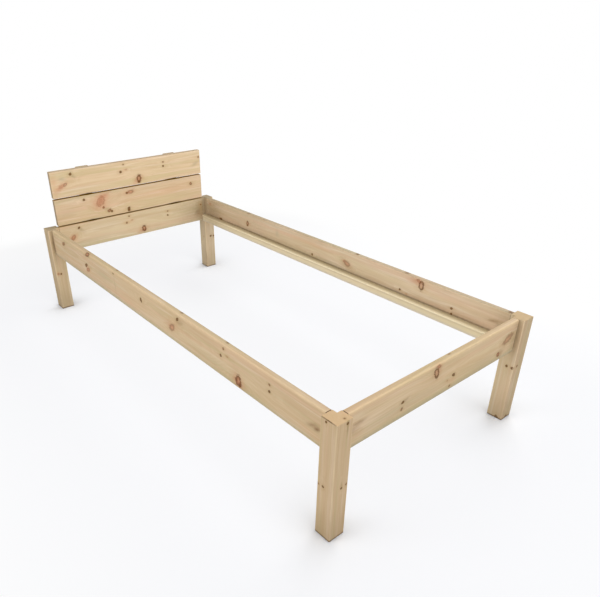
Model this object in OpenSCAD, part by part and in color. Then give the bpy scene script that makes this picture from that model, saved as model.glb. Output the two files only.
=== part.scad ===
// Single bed frame in solid pine for a 900 by 2000 mm mattress.
// Four corner posts, four rails, a plank headboard held by two battens,
// and two ledges along the side rails that carry a slatted base.
// The frame stands on z = 0 with its middle at x = y = 0.
// The foot end is at -y, the headboard at +y, and left is -x seen from the foot end.

/* [Overall size] */
// Width over the corner posts
bed_w = 1000; // [900:5:1600]
// Length over the corner posts
bed_l = 2100; // [1400:5:2300]
// Height of the lower edge of the rails above the floor
rail_z = 303; // [200:1:400]

/* [Corner posts] */
// Side of the square post
post_w = 63; // [58:1:80]
// Rounding of the long edges of a post
post_round = 4; // [2:0.5:8]
// Rounding of the edges at the top and the bottom of a post
post_end_round = 2; // [1:0.5:5]
// Distance from the outer face of a post to the outer face of a rail
setback = 20; // [14:1:24]

/* [Rails and planks] */
// Thickness of the rails and of the headboard planks
board_t = 24; // [20:1:28]
// Height of each rail and of each headboard plank
board_h = 132; // [116:1:160]
// Rounding of the long edges of the side rails and the foot rail
board_round = 4; // [2:0.5:8]
// Rounding of the edges round the ends of a rail, where it butts against a post
rail_end_round = 1.5; // [0.5:0.5:3]

/* [Headboard] */
// Open gap between two headboard planks
plank_gap = 7; // [3:0.5:15]
// Rounding of the long edges of the three headboard boards
plank_round = 1; // [0.5:0.5:4]
// Rounding of the edges at the free ends of a headboard plank
plank_end_round = 3; // [1:0.5:5]
// Distance from the middle of the bed to the middle of a batten
batten_x = 254; // [180:1:340]
// Width of a batten
batten_w = 65; // [50:1:90]
// Rounding of the edges of a batten
batten_round = 2; // [1:0.5:5]

/* [Slat ledges] */
// Width of the face that the slatted base rests on
ledge_w = 35; // [28:1:60]
// Height of a ledge
ledge_h = 35; // [28:1:60]
// Rounding of the long edges of a ledge
ledge_round = 3; // [1:0.5:5]

/* [Dowels in the end rails] */
// Diameter of a dowel between an end rail and a post
dowel_d = 10; // [6:1:12]
// Length of a dowel between an end rail and a post
dowel_l = 60; // [40:2:80]
// Distance between the two dowels at one end of a rail
dowel_pitch = 60; // [50:1:64]

/* [Dowels in the ledges] */
// Diameter of a dowel between a ledge and a side rail
ledge_dowel_d = 8; // [6:1:10]
// Depth of a ledge dowel in the side rail
ledge_dowel_in_rail = 15; // [10:1:18]
// Depth of a ledge dowel in the ledge
ledge_dowel_in_ledge = 20; // [12:1:24]
// Number of dowels along one ledge
ledge_dowel_count = 7; // [4:1:12]
// Distance from the end of a ledge to its first dowel
ledge_dowel_inset = 87; // [70:1:150]

/* [Hook fittings in the side rails] */
// Width of a fitting plate
plate_w = 16; // [12:1:18]
// Thickness of a fitting plate
plate_t = 2.5; // [2.5:0.1:3]
// Thickness of a hook, across the plate
hook_t = 4; // [3:0.5:5]
// Height of the neck of a hook
hook_neck = 10; // [8:1:12]
// How far a hook reaches below its neck, behind the slotted plate
hook_drop = 6; // [4:1:8]
// Thickness of the part of a hook that drops behind the slotted plate
hook_lip = 3.5; // [3:0.5:5]
// Distance between the two hooks of a plate
hook_pitch = 40; // [36:1:44]
// Distance from the opening for a hook to the head of the next screw
plate_land = 3; // [2:0.5:4]
// Distance from the end of a plate to the head of the next screw
plate_margin = 4; // [3:0.5:5]

/* [Screws] */
// Diameter of a screw shank
screw_d = 4; // [3:0.5:5]
// Diameter of a countersunk screw head
screw_head_d = 8; // [7:0.5:9]
// Height of the cone of a screw head
screw_head_h = 2.4; // [2:0.1:2.5]
// Length of a screw that holds a hook plate to a side rail
rail_screw_l = 45; // [30:1:60]
// Length of a screw that holds a slotted plate to a post
post_screw_l = 24; // [16:1:24]
// Depth that a batten screw reaches into a board
batten_screw_grip = 18; // [12:1:18]
// Distance from the edge of a board to the axis of a batten screw
batten_screw_inset = 33; // [20:1:50]

/* [Clearances] */
// Radial room round a dowel for glue
dowel_room = 0.1; // [0.05:0.05:0.3]
// Room beyond each end of a dowel
dowel_end_room = 1; // [0.5:0.5:3]
// Radial room round a screw
screw_room = 0.1; // [0.05:0.05:0.3]
// Room between a hook and the slot and pocket that take it
hook_room = 0.4; // [0.3:0.1:1]

/* [Hidden] */

$fn = 48;
// Overlap that carries a cut past the face that it opens
past = 1;
left = -1;
right = 1;
foot = -1;
head = 1;

// Posts: their tops are level with the tops of the rails
post_h = rail_z + board_h;
post_x = (bed_w - post_w) / 2;
post_y = (bed_l - post_w) / 2;
// Inner faces of the posts, where the rails butt
inner_x = bed_w / 2 - post_w;
inner_y = bed_l / 2 - post_w;

// Rails: middle planes, and middle of their height
side_rail_x = bed_w / 2 - setback - board_t / 2;
end_rail_y = bed_l / 2 - setback - board_t / 2;
rail_mid_z = rail_z + board_h / 2;
// Bay inside the rails; the posts are notched to its corners above the ledges
bay_x = side_rail_x - board_t / 2;
bay_y = end_rail_y - board_t / 2;
notch = post_w - setback - board_t;
shoulder_z = rail_z + ledge_h;

// Headboard: the head rail is the lowest of three equal boards
plank_pitch = board_h + plank_gap;
board_count = 3;
headboard_top = rail_z + board_h + (board_count - 1) * plank_pitch;
headboard_back = end_rail_y + board_t / 2;
// Battens fill the setback behind the boards, so that they are level with the posts at the back
batten_t = setback;
batten_back = headboard_back + batten_t;
batten_screw_l = batten_t + batten_screw_grip;

// Ledge dowels, evenly spread between the first and the last
ledge_dowel_pitch = 2 * (inner_y - ledge_dowel_inset) / (ledge_dowel_count - 1);
ledge_dowel_z = rail_z + ledge_h / 2;

// Hook fittings: places are measured from the joint face and the middle of the rail.
// A slot is tall enough for a hook to enter before it drops onto the lower end of the slot.
hook_reach = plate_t + hook_room + hook_lip;
slot_w = hook_t + 2 * hook_room;
slot_h = hook_neck + hook_drop + hook_room;
pocket_depth = hook_reach + hook_room;
pocket_drop = hook_drop + hook_room;
pocket_h = slot_h + pocket_drop;
plate_screw_z = (hook_pitch + slot_h + screw_head_d) / 2 + pocket_drop + plate_land;
plate_h = 2 * plate_screw_z + screw_head_d + 2 * plate_margin;
// Lower ends of the two slots
slot_z = [-(hook_pitch + slot_h) / 2, (hook_pitch - slot_h) / 2];

pine = [0.82, 0.68, 0.50];
pale_pine = [0.87, 0.78, 0.62];
beech = [0.80, 0.62, 0.42];
zinc = [0.72, 0.73, 0.74];

// Bar along z with rounded long edges, centred on x and y, from z = 0 up
module rounded_bar(w, d, length, r) {
    linear_extrude(length)
        union() {
            square([w - 2 * r, d], center = true);
            square([w, d - 2 * r], center = true);
            for (sx = [-1, 1])
                for (sy = [-1, 1])
                    translate([sx * (w / 2 - r), sy * (d / 2 - r)])
                        circle(r);
        }
}

// Bar along z whose ends are rounded too, by r_end
module rounded_block(w, d, length, r, r_end) {
    intersection() {
        rounded_bar(w, d, length, r);
        translate([-w / 2, 0, length / 2])
            rotate([90, 0, 90])
                rounded_bar(d, length, w, r_end);
        translate([0, d / 2, length / 2])
            rotate([90, 0, 0])
                rounded_bar(w, length, d, r_end);
    }
}

// Turns a bar of the given length so that it runs along x, with its middle at the origin
// and its own y upwards
module along_x(length) {
    translate([-length / 2, 0, 0])
        rotate([90, 0, 90])
            children();
}

// The same along y
module along_y(length) {
    rotate([0, 0, 90])
        along_x(length)
            children();
}

// Countersunk screw with its head level with z = 0 and its point at z = -length
module screw(length, grow = 0) {
    tip = screw_d;
    rotate_extrude()
        polygon([
            [0, 0],
            [screw_head_d / 2 + grow, 0],
            [screw_d / 2 + grow, -screw_head_h],
            [screw_d / 2 + grow, -length + tip],
            [0, -length - grow]
        ]);
}

// Hole for a countersunk screw
module screw_hole(length) {
    screw(length, screw_room);
    cylinder(h = past, d = screw_head_d + 2 * screw_room);
}

// Two dowels that join one end of an end rail to its post
module end_dowels(side, end, grow = 0, end_room = 0) {
    for (dz = [-dowel_pitch / 2, dowel_pitch / 2])
        translate([side * inner_x, end * end_rail_y, rail_mid_z + dz])
            rotate([0, 90, 0])
                cylinder(h = dowel_l + 2 * end_room, d = dowel_d + 2 * grow, center = true);
}

// Holes for the dowels of one end of an end rail
module end_dowel_holes(side, end) {
    end_dowels(side, end, dowel_room, dowel_end_room);
}

// Row of dowels between a side rail and its ledge
module ledge_dowels(side, grow = 0, end_room = 0) {
    length = ledge_dowel_in_rail + ledge_dowel_in_ledge + 2 * end_room;
    middle = bay_x + (ledge_dowel_in_rail - ledge_dowel_in_ledge) / 2;
    for (i = [0 : ledge_dowel_count - 1])
        translate([side * middle, -inner_y + ledge_dowel_inset + i * ledge_dowel_pitch, ledge_dowel_z])
            rotate([0, 90, 0])
                cylinder(h = length, d = ledge_dowel_d + 2 * grow, center = true);
}

// Holes for the dowels of one ledge
module ledge_dowel_holes(side) {
    ledge_dowels(side, dowel_room, dowel_end_room);
}

// Puts a fitting at one end of a side rail: local y points into the post from the joint face,
// and z = 0 is the middle of the rail
module at_side_joint(side, end) {
    translate([side * side_rail_x, end * inner_y, rail_mid_z])
        rotate([0, 0, end == head ? 0 : 180])
            children();
}

// Blank of a fitting plate that lies below the joint face, at -y
module plate_blank(past_face = 0) {
    translate([-plate_w / 2, -plate_t, -plate_h / 2])
        cube([plate_w, plate_t + past_face, plate_h]);
}

// Places what holds a plate at both of its screws, where z = 0 is the joint face
// and -z points into the wood
module at_plate_screws() {
    for (z = [-plate_screw_z, plate_screw_z])
        translate([0, 0, z])
            rotate([-90, 0, 0])
                children();
}

// One hook of a plate, from its root in the plate, with its neck resting on z = 0
module hook() {
    root = plate_t / 2;
    translate([-hook_t / 2, -root, 0])
        cube([hook_t, root + hook_reach, hook_neck]);
    translate([-hook_t / 2, hook_reach - hook_lip, -hook_drop])
        cube([hook_t, hook_lip, hook_neck + hook_drop]);
}

// Plate let into the end of a side rail, with two hooks that reach into the post
module hook_plate() {
    difference() {
        plate_blank();
        at_plate_screws()
            screw_hole(rail_screw_l);
    }
    for (z = slot_z)
        translate([0, 0, z])
            hook();
}

// Plate let into a post, with a slot for each hook
module slotted_plate() {
    difference() {
        rotate([0, 0, 180])
            plate_blank();
        for (z = slot_z)
            translate([-slot_w / 2, -past, z])
                cube([slot_w, plate_t + 2 * past, slot_h]);
        rotate([0, 0, 180])
            at_plate_screws()
                screw_hole(post_screw_l);
    }
}

// Cuts in the end of a side rail for its hook plate and screws
module rail_end_cuts(side, end) {
    at_side_joint(side, end) {
        plate_blank(past);
        at_plate_screws()
            screw_hole(rail_screw_l);
    }
}

// Cuts in a post for its slotted plate, its screws and the pockets behind the slots
module post_fitting_cuts(side, end) {
    at_side_joint(side, end) {
        rotate([0, 0, 180]) {
            plate_blank(past);
            at_plate_screws()
                screw_hole(post_screw_l);
        }
        for (z = slot_z)
            translate([-slot_w / 2, 0, z - pocket_drop])
                cube([slot_w, pocket_depth, pocket_h]);
    }
}

// Places what holds a batten to one board at both of its screws; z is the board's lower edge,
// z = 0 of what is placed is the back of the batten and -z points into the wood
module at_board_screws(side, z) {
    for (dz = [batten_screw_inset, board_h - batten_screw_inset])
        translate([side * batten_x, batten_back, z + dz])
            rotate([-90, 0, 0])
                children();
}

// Corner post, notched at its inner corner so that the mattress bay stays clear
module post(side, end) {
    color(pine)
        difference() {
            translate([side * post_x, end * post_y, 0])
                rounded_block(post_w, post_w, post_h, post_round, post_end_round);
            post_notch(side, end);
            end_dowel_holes(side, end);
            post_fitting_cuts(side, end);
        }
}

// Cut that carries the corner of the mattress bay into a post, down to the level of the ledges
module post_notch(side, end) {
    reach = notch + past;
    translate([side * (bay_x - reach / 2), end * (bay_y - reach / 2), shoulder_z])
        linear_extrude(post_h - shoulder_z + past)
            square(reach, center = true);
}

// Side rail, butted between a foot post and a head post
module side_rail(side) {
    color(pine)
        difference() {
            translate([side * side_rail_x, 0, rail_mid_z])
                along_y(2 * inner_y)
                    rounded_block(board_t, board_h, 2 * inner_y, board_round, rail_end_round);
            for (end = [foot, head])
                rail_end_cuts(side, end);
            ledge_dowel_holes(side);
        }
}

// Board between two posts across the bed, at rail height, with its middle plane at y
module end_board(y, r) {
    translate([0, y, rail_mid_z])
        along_x(2 * inner_x)
            rounded_block(board_t, board_h, 2 * inner_x, r, rail_end_round);
}

// Rail across the foot end
module foot_rail() {
    color(pine)
        difference() {
            end_board(-end_rail_y, board_round);
            for (side = [left, right])
                end_dowel_holes(side, foot);
        }
}

// Rail across the head end, the lowest board of the headboard
module head_rail() {
    color(pine)
        difference() {
            end_board(end_rail_y, plank_round);
            for (side = [left, right])
                end_dowel_holes(side, head);
            board_screw_holes(rail_z);
        }
}

// Plank of the headboard with free ends, counted upwards from the head rail
module headboard_plank(number) {
    z = rail_z + number * plank_pitch;
    color(pine)
        difference() {
            translate([0, end_rail_y, z + board_h / 2])
                along_x(2 * inner_x)
                    rounded_block(board_t, board_h, 2 * inner_x, plank_round, plank_end_round);
            board_screw_holes(z);
        }
}

// Holes in one board of the headboard for the screws of both battens
module board_screw_holes(z) {
    for (side = [left, right])
        at_board_screws(side, z)
            screw_hole(batten_screw_l);
}

// Upright batten behind the headboard
module batten(side) {
    color(pine)
        difference() {
            translate([side * batten_x, headboard_back + batten_t / 2, rail_z])
                rounded_block(batten_w, batten_t, headboard_top - rail_z, batten_round, batten_round);
            for (number = [0 : board_count - 1])
                at_board_screws(side, rail_z + number * plank_pitch)
                    screw_hole(batten_screw_l);
        }
}

// Ledge along the foot of a side rail, cut to the same length
module slat_ledge(side) {
    color(pale_pine)
        difference() {
            translate([side * (bay_x - ledge_w / 2), 0, ledge_dowel_z])
                along_y(2 * inner_y)
                    rounded_bar(ledge_w, ledge_h, 2 * inner_y, ledge_round);
            ledge_dowel_holes(side);
        }
}

// Dowels of one end rail, at both of its ends
module end_rail_dowels(end) {
    color(beech)
        for (side = [left, right])
            end_dowels(side, end);
}

// Dowels of one ledge
module side_ledge_dowels(side) {
    color(beech)
        ledge_dowels(side);
}

// Hook plates at both ends of a side rail
module hook_plates(side) {
    color(zinc)
        for (end = [foot, head])
            at_side_joint(side, end)
                hook_plate();
}

// Slotted plates in the two posts of one side
module slotted_plates(side) {
    color(zinc)
        for (end = [foot, head])
            at_side_joint(side, end)
                slotted_plate();
}

// Screws of the hook plates of one side rail
module hook_plate_screws(side) {
    color(zinc)
        for (end = [foot, head])
            at_side_joint(side, end)
                at_plate_screws()
                    screw(rail_screw_l);
}

// Screws of the slotted plates in the posts of one side
module slotted_plate_screws(side) {
    color(zinc)
        for (end = [foot, head])
            at_side_joint(side, end)
                rotate([0, 0, 180])
                    at_plate_screws()
                        screw(post_screw_l);
}

// Screws that hold one batten to the three boards
module batten_screws(side) {
    color(zinc)
        for (number = [0 : board_count - 1])
            at_board_screws(side, rail_z + number * plank_pitch)
                screw(batten_screw_l);
}

post(left, foot);  // post_foot_left
post(right, foot);  // post_foot_right
post(left, head);  // post_head_left
post(right, head);  // post_head_right
side_rail(left);  // side_rail_left
side_rail(right);  // side_rail_right
foot_rail();
head_rail();
headboard_plank(1);  // headboard_plank_middle
headboard_plank(2);  // headboard_plank_top
batten(left);  // headboard_batten_left
batten(right);  // headboard_batten_right
slat_ledge(left);  // slat_ledge_left
slat_ledge(right);  // slat_ledge_right
end_rail_dowels(foot);  // foot_rail_dowels
end_rail_dowels(head);  // head_rail_dowels
side_ledge_dowels(left);  // ledge_dowels_left
side_ledge_dowels(right);  // ledge_dowels_right
hook_plates(left);  // hook_plates_left
hook_plates(right);  // hook_plates_right
slotted_plates(left);  // slotted_plates_left
slotted_plates(right);  // slotted_plates_right
hook_plate_screws(left);  // hook_plate_screws_left
hook_plate_screws(right);  // hook_plate_screws_right
slotted_plate_screws(left);  // slotted_plate_screws_left
slotted_plate_screws(right);  // slotted_plate_screws_right
batten_screws(left);  // batten_screws_left
batten_screws(right);  // batten_screws_right
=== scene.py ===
"""Single bed frame in knotty pine: the finishes, the fasteners, the floor, the light and the camera."""

import math

import bmesh
import bpy
from mathutils import Matrix, Vector
from mathutils.geometry import tessellate_polygon


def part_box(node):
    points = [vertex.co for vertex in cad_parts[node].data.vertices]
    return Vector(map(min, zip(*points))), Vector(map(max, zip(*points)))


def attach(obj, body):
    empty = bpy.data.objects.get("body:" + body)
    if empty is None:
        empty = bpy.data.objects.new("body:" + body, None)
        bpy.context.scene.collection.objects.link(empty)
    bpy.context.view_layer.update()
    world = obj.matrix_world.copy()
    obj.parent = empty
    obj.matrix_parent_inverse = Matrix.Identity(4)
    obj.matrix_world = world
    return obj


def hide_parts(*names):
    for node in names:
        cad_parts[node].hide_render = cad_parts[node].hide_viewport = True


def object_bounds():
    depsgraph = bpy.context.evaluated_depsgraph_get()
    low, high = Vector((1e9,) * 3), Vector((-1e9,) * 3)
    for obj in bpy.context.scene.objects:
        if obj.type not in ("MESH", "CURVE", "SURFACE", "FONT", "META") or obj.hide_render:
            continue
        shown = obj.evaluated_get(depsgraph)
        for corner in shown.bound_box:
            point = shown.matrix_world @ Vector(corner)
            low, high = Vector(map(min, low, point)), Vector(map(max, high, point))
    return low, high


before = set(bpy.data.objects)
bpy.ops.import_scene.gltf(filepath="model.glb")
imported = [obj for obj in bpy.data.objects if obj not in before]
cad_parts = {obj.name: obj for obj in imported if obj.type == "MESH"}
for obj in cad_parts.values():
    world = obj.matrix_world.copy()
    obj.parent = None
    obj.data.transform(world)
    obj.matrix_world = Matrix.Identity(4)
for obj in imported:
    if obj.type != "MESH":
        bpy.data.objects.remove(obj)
cad_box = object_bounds()

# Camera, in metres and degrees: the photograph's point of view
IMAGE_W = 600
IMAGE_H = 597
CAMERA_PLACE = (-1.3968, -1.8631, 1.3741)
CAMERA_YAW = 39.379
CAMERA_PITCH = 28.941
FOCAL_PIXELS = 572.53
VIEW_CENTRE = (269.62, 334.50)
SENSOR_W = 36.0

# Light: white walls all round, brightest low down, and four broad soft lamps
WALL_LEVEL = 1.048
LAMP_SIZE = 2.6
LAMPS = (
    ("right", (2.6, 0.0, 2.2), 63.0),
    ("left", (-3.2, 0.6, 2.4), 47.0),
    ("high_front", (-0.4, -1.6, 3.4), 52.0),
    ("low_front", (0.0, -3.6, 1.8), 13.0),
)
AIM = (0.0, 0.0, 0.3)

# Floor: matt, pale, and melting into plain white away from the bed
FLOOR_SIZE = 14.0
FLOOR_BOUNCE = (0.85, 0.85, 0.85, 1.0)
FLOOR_SEEN = (0.96, 0.974, 1.0, 1.0)
FLOOR_GLOW = (0.958, 0.962, 0.982, 1.0)
WHITE = (1.0, 1.0, 1.0, 1.0)
GLOW_FROM = 0.15
GLOW_TO = 1.3

# Near a post the floor keeps its own shade, and the glow comes back over these distances. A painted contact
# shadow darkens the floor right beside each post
GLOW_SHARE = 0.86
GLOW_RISE_FOOT = 0.088
GLOW_RISE_HEAD = 0.045
GLOW_RISE_RIGHT = 1.35
CONTACT_SHADE = (0.08, 0.075, 0.065)
CONTACT_REACH = 0.022

# On one side of each post the glow cuts that shade short, and beside the right foot post a painted shadow
# deepens it
CAST_TO = (-0.773, 0.634, 0.0)
CAST_ANGLE_FOOT = (0.3, 0.95)
CAST_ANGLE_HEAD = (0.65, 1.0)
CAST_CUT_FOOT = 0.12
CAST_CUT_HEAD = 0.74
CAST_DEPTH = 0.17
CAST_REACH = 0.15

# A broad, faint painted shade lies under the head end
HEAD_SHADE = (0.26, 0.78, 0.0)
HEAD_SHADE_REACH = 0.24
HEAD_SHADE_DEPTH = 0.05

MM = 0.001


def span(node):
    """The low and high corner of a CAD node, in mm."""
    low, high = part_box(node)
    return Vector(low) / MM, Vector(high) / MM


def tone(red, green, blue):
    """A colour from the 0 to 255 values that it shows on a screen."""
    def linear(value):
        share = value / 255
        return share / 12.92 if share <= 0.04045 else ((share + 0.055) / 1.055) ** 2.4

    return (linear(red), linear(green), linear(blue), 1.0)


class Graph:
    """Adds nodes to one node tree and links them."""

    def __init__(self, tree):
        self.tree = tree

    def add(self, kind, inputs=None, **settings):
        node = self.tree.nodes.new(kind)
        for name, value in settings.items():
            setattr(node, name, value)
        for name, value in (inputs or {}).items():
            self.feed(node.inputs[name], value)
        return node

    def feed(self, socket, value):
        if isinstance(value, bpy.types.NodeSocket):
            self.tree.links.new(value, socket)
        elif value is not None:
            socket.default_value = value

    def math(self, operation, a, b=None, c=None):
        return self.add("ShaderNodeMath", {0: a, 1: b, 2: c}, operation=operation).outputs[0]

    def times(self, a, b, plus=None):
        return self.math("MULTIPLY" if plus is None else "MULTIPLY_ADD", a, b, plus)

    def scaled(self, vector, factor):
        return self.add("ShaderNodeVectorMath", {0: vector, 3: factor}, operation="SCALE").outputs[0]

    def vector(self, operation, a, b=None):
        node = self.add("ShaderNodeVectorMath", {0: a, 1: b}, operation=operation)
        single = operation in ("DOT_PRODUCT", "LENGTH", "DISTANCE")
        return node.outputs["Value" if single else "Vector"]

    def split(self, vector):
        return self.add("ShaderNodeSeparateXYZ", {0: vector}).outputs

    def join(self, x, y, z):
        return self.add("ShaderNodeCombineXYZ", {0: x, 1: y, 2: z}).outputs[0]

    def step(self, value, low, high, start=0.0, end=1.0):
        """From start to end, smoothly, as the value goes from low to high."""
        inputs = {0: value, 1: low, 2: high, 3: start, 4: end}
        return self.add("ShaderNodeMapRange", inputs, interpolation_type="SMOOTHSTEP").outputs[0]

    def bell(self, value, width):
        """1 where the value is 0, falling smoothly to 0."""
        ratio = self.math("DIVIDE", value, width)
        return self.math("EXPONENT", self.times(self.times(ratio, ratio), -1.0))

    def noise(self, vector, scale, detail=2.0, roughness=0.5, output=0):
        inputs = {"Vector": vector, "Scale": scale, "Detail": detail, "Roughness": roughness}
        return self.add("ShaderNodeTexNoise", inputs).outputs[output]

    def mix(self, factor, a, b):
        return self.add("ShaderNodeMix", {0: factor, 6: a, 7: b}, data_type="RGBA").outputs[2]


def new_group(name, inputs, outputs):
    """A shader node group with these sockets: group, graph, its inputs, and a function for its outputs."""
    group = bpy.data.node_groups.new(name, "ShaderNodeTree")
    for way, sockets in (("INPUT", inputs), ("OUTPUT", outputs)):
        for socket_name, kind in sockets:
            group.interface.new_socket(socket_name, in_out=way, socket_type=kind)
    graph = Graph(group)
    source = group.nodes.new("NodeGroupInput").outputs
    target = group.nodes.new("NodeGroupOutput").inputs

    def give(socket_name, value):
        graph.feed(target[socket_name], value)

    return group, graph, source, give


def new_material(name):
    """A material with an empty node tree, and its graph."""
    material = bpy.data.materials.new(name)
    material.use_nodes = True
    material.node_tree.nodes.clear()
    return material, Graph(material.node_tree)


def add_thing(name, data):
    thing = bpy.data.objects.new(name, data)
    bpy.context.scene.collection.objects.link(thing)
    return thing


VECTOR = "NodeSocketVector"
FLOAT = "NodeSocketFloat"
COLOUR = "NodeSocketColor"

# Where a branch comes in, as a share of its start
KNOT_START = 0.85

# A knot's form, as shares of its radius: its edge, its rim, its halo and how far it bends the grain
KNOT_SPREAD = 0.9
HEART_EDGE = (0.7, 1.15)
RIM_AT = 0.9
KNOT_RAGGED = 1.25
HALO_RAGGED = 1.5
HALO_REACH = 1.55
BEND_REACH = 2.4

# The halo and the bent grain are drawn out along the grain
HALO_DRAWN = (0.55, 1.0, 1.0)
BEND_DRAWN = (0.26, 1.0, 1.0)


def knot_group():
    """One branch through the board. It bends the grain round itself and adds its heart, halo and rim."""
    chained = [("Bend", VECTOR), ("Swell", FLOAT), ("Marks", VECTOR), ("Redness", FLOAT)]
    group, g, given, give = new_group(
        "knot",
        [("Position", VECTOR), ("Unevenness", FLOAT), ("Centre", VECTOR), ("Axis", VECTOR),
         ("Radius", FLOAT), ("Start", FLOAT), ("Strengths", VECTOR), ("Red", FLOAT), ("Loops", FLOAT),
         ("Rim width", FLOAT)] + chained, chained)
    away = g.vector("SUBTRACT", given["Position"], given["Centre"])
    along = g.vector("DOT_PRODUCT", away, given["Axis"])
    beside = g.vector("SUBTRACT", away, g.scaled(given["Axis"], along))
    present = g.step(along, g.times(given["Start"], -1.0), g.times(given["Start"], -KNOT_START))
    near = g.math("DIVIDE", g.vector("LENGTH", beside), given["Radius"])
    near = g.times(near, KNOT_SPREAD)
    ragged = g.times(given["Unevenness"], KNOT_RAGGED, near)
    heart = g.times(g.step(ragged, *HEART_EDGE, 1.0, 0.0), present)
    waves = g.times(ragged, g.times(given["Loops"], 2 * math.pi))
    rings = g.times(g.math("COSINE", waves), 0.5, 0.5)
    ring_share = g.times(given["Red"], 0.35, 0.3)
    ringed_heart = g.times(heart, g.math("SUBTRACT", 1.0, g.times(rings, ring_share)))
    rim = g.bell(g.math("SUBTRACT", ragged, RIM_AT), given["Rim width"])
    rim = g.times(rim, present)
    reach = g.vector("LENGTH", g.vector("MULTIPLY", beside, HALO_DRAWN))
    reach = g.times(given["Unevenness"], HALO_RAGGED, g.math("DIVIDE", reach, given["Radius"]))
    halo = g.times(g.bell(reach, HALO_REACH), present)
    added = g.vector("MULTIPLY", g.join(ringed_heart, halo, rim), given["Strengths"])
    stretched = g.vector("MULTIPLY", beside, BEND_DRAWN)
    flow = g.bell(g.vector("LENGTH", stretched), g.times(given["Radius"], BEND_REACH))
    flow = g.times(flow, present)
    give("Bend", g.vector("ADD", given["Bend"], g.scaled(beside, flow)))
    give("Swell", g.times(flow, given["Radius"], given["Swell"]))
    give("Marks", g.vector("MAXIMUM", given["Marks"], added))
    give("Redness", g.math("MAXIMUM", given["Redness"], g.times(halo, given["Red"])))
    return group


PATCH_RAGGED = 0.9


def patch_group():
    """A soft oval of another tone: a stain, a resin trail or a rosy cloud."""
    group, g, given, give = new_group(
        "patch",
        [("Position", VECTOR), ("Unevenness", FLOAT), ("Centre", VECTOR), ("Along", VECTOR),
         ("Across", VECTOR), ("Depth", VECTOR), ("Strength", FLOAT), ("Tone", COLOUR), ("Colour", COLOUR)],
        [("Colour", COLOUR)])
    away = g.vector("SUBTRACT", given["Position"], given["Centre"])
    spot = g.join(*(g.vector("DOT_PRODUCT", away, given[side]) for side in ("Along", "Across", "Depth")))
    reach = g.times(given["Unevenness"], PATCH_RAGGED, g.vector("LENGTH", spot))
    amount = g.times(g.bell(reach, 1.0), given["Strength"])
    give("Colour", g.mix(amount, given["Colour"], given["Tone"]))
    return group


# The figure's streaks: how often each changes in a metre, along the grain and across it, and the detail
# and roughness of its noise
STREAKS = {
    "Cloud": (2.2, 9.0, 2.0, 0.5),
    "Broad streak": (1.2, 34.0, 3.0, 0.55),
    "Middle streak": (3.2, 62.0, 2.0, 0.5),
    "Fine streak": (4.0, 170.0, 3.0, 0.6),
    "Fibre": (22.0, 1300.0, 2.0, 0.6),
}
CANALS = (45.0, 950.0, 950.0)
WANDER_OFTEN = (1.6, 5.0, 5.0)
WANDER_FAR = 0.03
GRAIN_BEND = 0.62
RING_SWELL = 1.1
RING_UNEVEN = 0.012
UNEVEN_OFTEN = 90.0
RING_RISE = (0.15, 0.9)
RING_FALL = (0.92, 1.0)
CANAL_FROM = (0.74, 0.8)


def figure_group():
    """The yearly rings as the board cuts them, with streaks and fibres along the grain."""
    group, g, given, give = new_group(
        "pine_figure",
        [("Position", VECTOR), ("Bend", VECTOR), ("Swell", FLOAT), ("Pith", VECTOR), ("Pith slope", VECTOR),
         ("Ring width", FLOAT), ("Seed", VECTOR)],
        [(name, FLOAT) for name in ("Latewood", *STREAKS, "Canals")])
    bent = g.vector("SUBTRACT", given["Position"], g.scaled(given["Bend"], GRAIN_BEND))
    seeded = g.vector("ADD", bent, given["Seed"])
    grain_x = g.split(bent)[0]
    wander = g.noise(g.vector("MULTIPLY", seeded, WANDER_OFTEN), 1.0, 2.0, 0.45, "Color")
    wander = g.scaled(g.vector("SUBTRACT", wander, (0.5, 0.5, 0.5)), WANDER_FAR)
    centre = g.vector("ADD", given["Pith"], g.scaled(given["Pith slope"], grain_x))
    from_pith = g.vector("SUBTRACT", g.vector("ADD", bent, wander), centre)
    radial = g.vector("LENGTH", g.vector("MULTIPLY", from_pith, (0.0, 1.0, 1.0)))
    radial = g.math("ADD", radial, g.times(given["Swell"], RING_SWELL))
    uneven = g.noise(g.join(g.times(radial, UNEVEN_OFTEN), 0.0, 0.0), 1.0, 2.0)
    count = g.math("DIVIDE", g.times(uneven, RING_UNEVEN, radial), given["Ring width"])
    part = g.math("FRACT", count)
    give("Latewood", g.times(g.step(part, *RING_RISE), g.step(part, *RING_FALL, 1.0, 0.0)))
    for name, (along, across, detail, roughness) in STREAKS.items():
        often = g.vector("MULTIPLY", seeded, (along, across, across))
        give(name, g.noise(often, 1.0, detail, roughness))
    canals = g.noise(g.vector("MULTIPLY", seeded, CANALS), 1.0, 0.0)
    give("Canals", g.step(canals, *CANAL_FROM))
    return group


# Pine colours, as they show on a screen
EARLYWOOD = tone(216, 190, 151)
LATEWOOD = tone(198, 166, 124)
ROSY_STREAK = tone(221, 183, 149)
GREEN_STREAK = tone(200, 182, 134)
PALE_STREAK = tone(228, 206, 175)
OLIVE_HALO = tone(190, 158, 108)
RED_HALO = tone(208, 150, 112)
HEART = tone(108, 70, 30)
RED_HEART = tone(168, 106, 72)
RIM = tone(98, 58, 22)
STAIN = tone(150, 130, 98)
BROWN = tone(150, 112, 78)
ROSE = tone(200, 140, 112)
GREEN = tone(176, 168, 140)
ORANGE = tone(220, 176, 136)
CREAM = tone(242, 226, 186)
# A painted highlight along a rail's top outer arris
LIT_EDGE = tone(250, 220, 176)
# Dark lines at close joints, and painted shade along contacts and at the posts' feet
DARK = tone(84, 58, 34)
# Painted shade in the headboard's gaps: brown, and black where a batten is behind
GAP_BROWN = tone(148, 108, 18)
GAP_BLACK = tone(62, 38, 12)
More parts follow.
